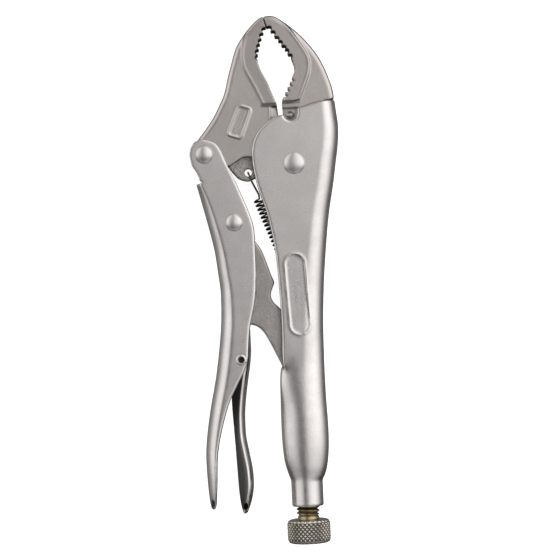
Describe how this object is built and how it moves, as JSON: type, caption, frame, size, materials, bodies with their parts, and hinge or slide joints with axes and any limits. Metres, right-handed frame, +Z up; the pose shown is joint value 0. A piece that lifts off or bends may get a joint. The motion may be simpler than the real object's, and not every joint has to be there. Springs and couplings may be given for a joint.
{
  "type": "locking pliers",
  "caption": "Curved-jaw locking pliers with a sprung toggle linkage, a release lever and a knurled adjusting screw, lying on their side.",
  "frame": {"origin": "bottom centre of the whole tool's box, on the surface that its rivet heads rest on", "axes": "+Z up, square to the cheeks; +Y along the adjusting screw, from the knob towards the jaw tips; +X from the lever handle towards the fixed handle"},
  "size_m": [0.0706, 0.25, 0.0212],
  "materials": {
    "plated_sheet": "satin nickel-plated sheet steel, softly orange-peeled, brighter along the bends",
    "forged_steel": "satin nickel-plated drop forging, fine grain, a little darker than the handles",
    "dark_steel": "grainy dark grey heat-treated steel",
    "bright_sheet": "polished plated sheet steel",
    "spring_wire": "drawn spring wire, dark and slightly glossy",
    "yellow_zinc": "yellow zinc-plated screw thread",
    "knurled_steel": "diamond-knurled steel with a faint yellow plating",
    "rivet_steel": "polished domed rivet heads"
  },
  "bodies": {
    "handle": {"fixed_handle": "plated_sheet", "fixed_jaw": "forged_steel", "main_rivet": "rivet_steel", "jaw_spring": "spring_wire"},
    "jaw": {"moving_jaw": "forged_steel", "lever_rivet": "rivet_steel"},
    "lever": {"lever_handle": "plated_sheet", "link_rivet": "rivet_steel", "release_rivet": "rivet_steel"},
    "link": {"toggle_link": "dark_steel"},
    "release": {"release_lever": "bright_sheet"},
    "screw": {"adjusting_screw": "yellow_zinc"},
    "knob": {"adjusting_knob": "knurled_steel"}
  },
  "joints": [
    {"name": "jaw_hinge", "type": "hinge", "parent": "handle", "child": "jaw", "pos_m": [0.01389, 0.0547, 0.0106], "axis": [0, 0, 1], "range_deg": [0, 26], "deforming": ["jaw_spring"]},
    {"name": "lever_hinge", "type": "hinge", "parent": "jaw", "child": "lever", "pos_m": [-0.02831, 0.0606, 0.0106], "axis": [0, 0, 1], "range_deg": [-77, 0]},
    {"name": "link_hinge", "type": "hinge", "parent": "lever", "child": "link", "pos_m": [-0.01561, 0.028, 0.0106], "axis": [0, 0, 1], "range_deg": [0, 77]},
    {"name": "release_hinge", "type": "hinge", "parent": "lever", "child": "release", "pos_m": [-0.01521, -0.0368, 0.0106], "axis": [0, 0, 1], "range_deg": [-8, 4]},
    {"name": "screw_slide", "type": "slide", "parent": "handle", "child": "screw", "axis": [0, -1, 0], "range_m": [-0.004, 0.02]},
    {"name": "knob_turn", "type": "hinge", "parent": "screw", "child": "knob", "pos_m": [0.01309, -0.1195, 0.0106], "axis": [0, -1, 0], "range_deg": [-800, 3990]}
  ],
  "couplings": [
    {"joint": "lever_hinge", "follows": "jaw_hinge", "ratio": -2.95},
    {"joint": "link_hinge", "follows": "jaw_hinge", "ratio": 2.93},
    {"joint": "knob_turn", "follows": "screw_slide", "rad_per_m": 3471.4}
  ]
}
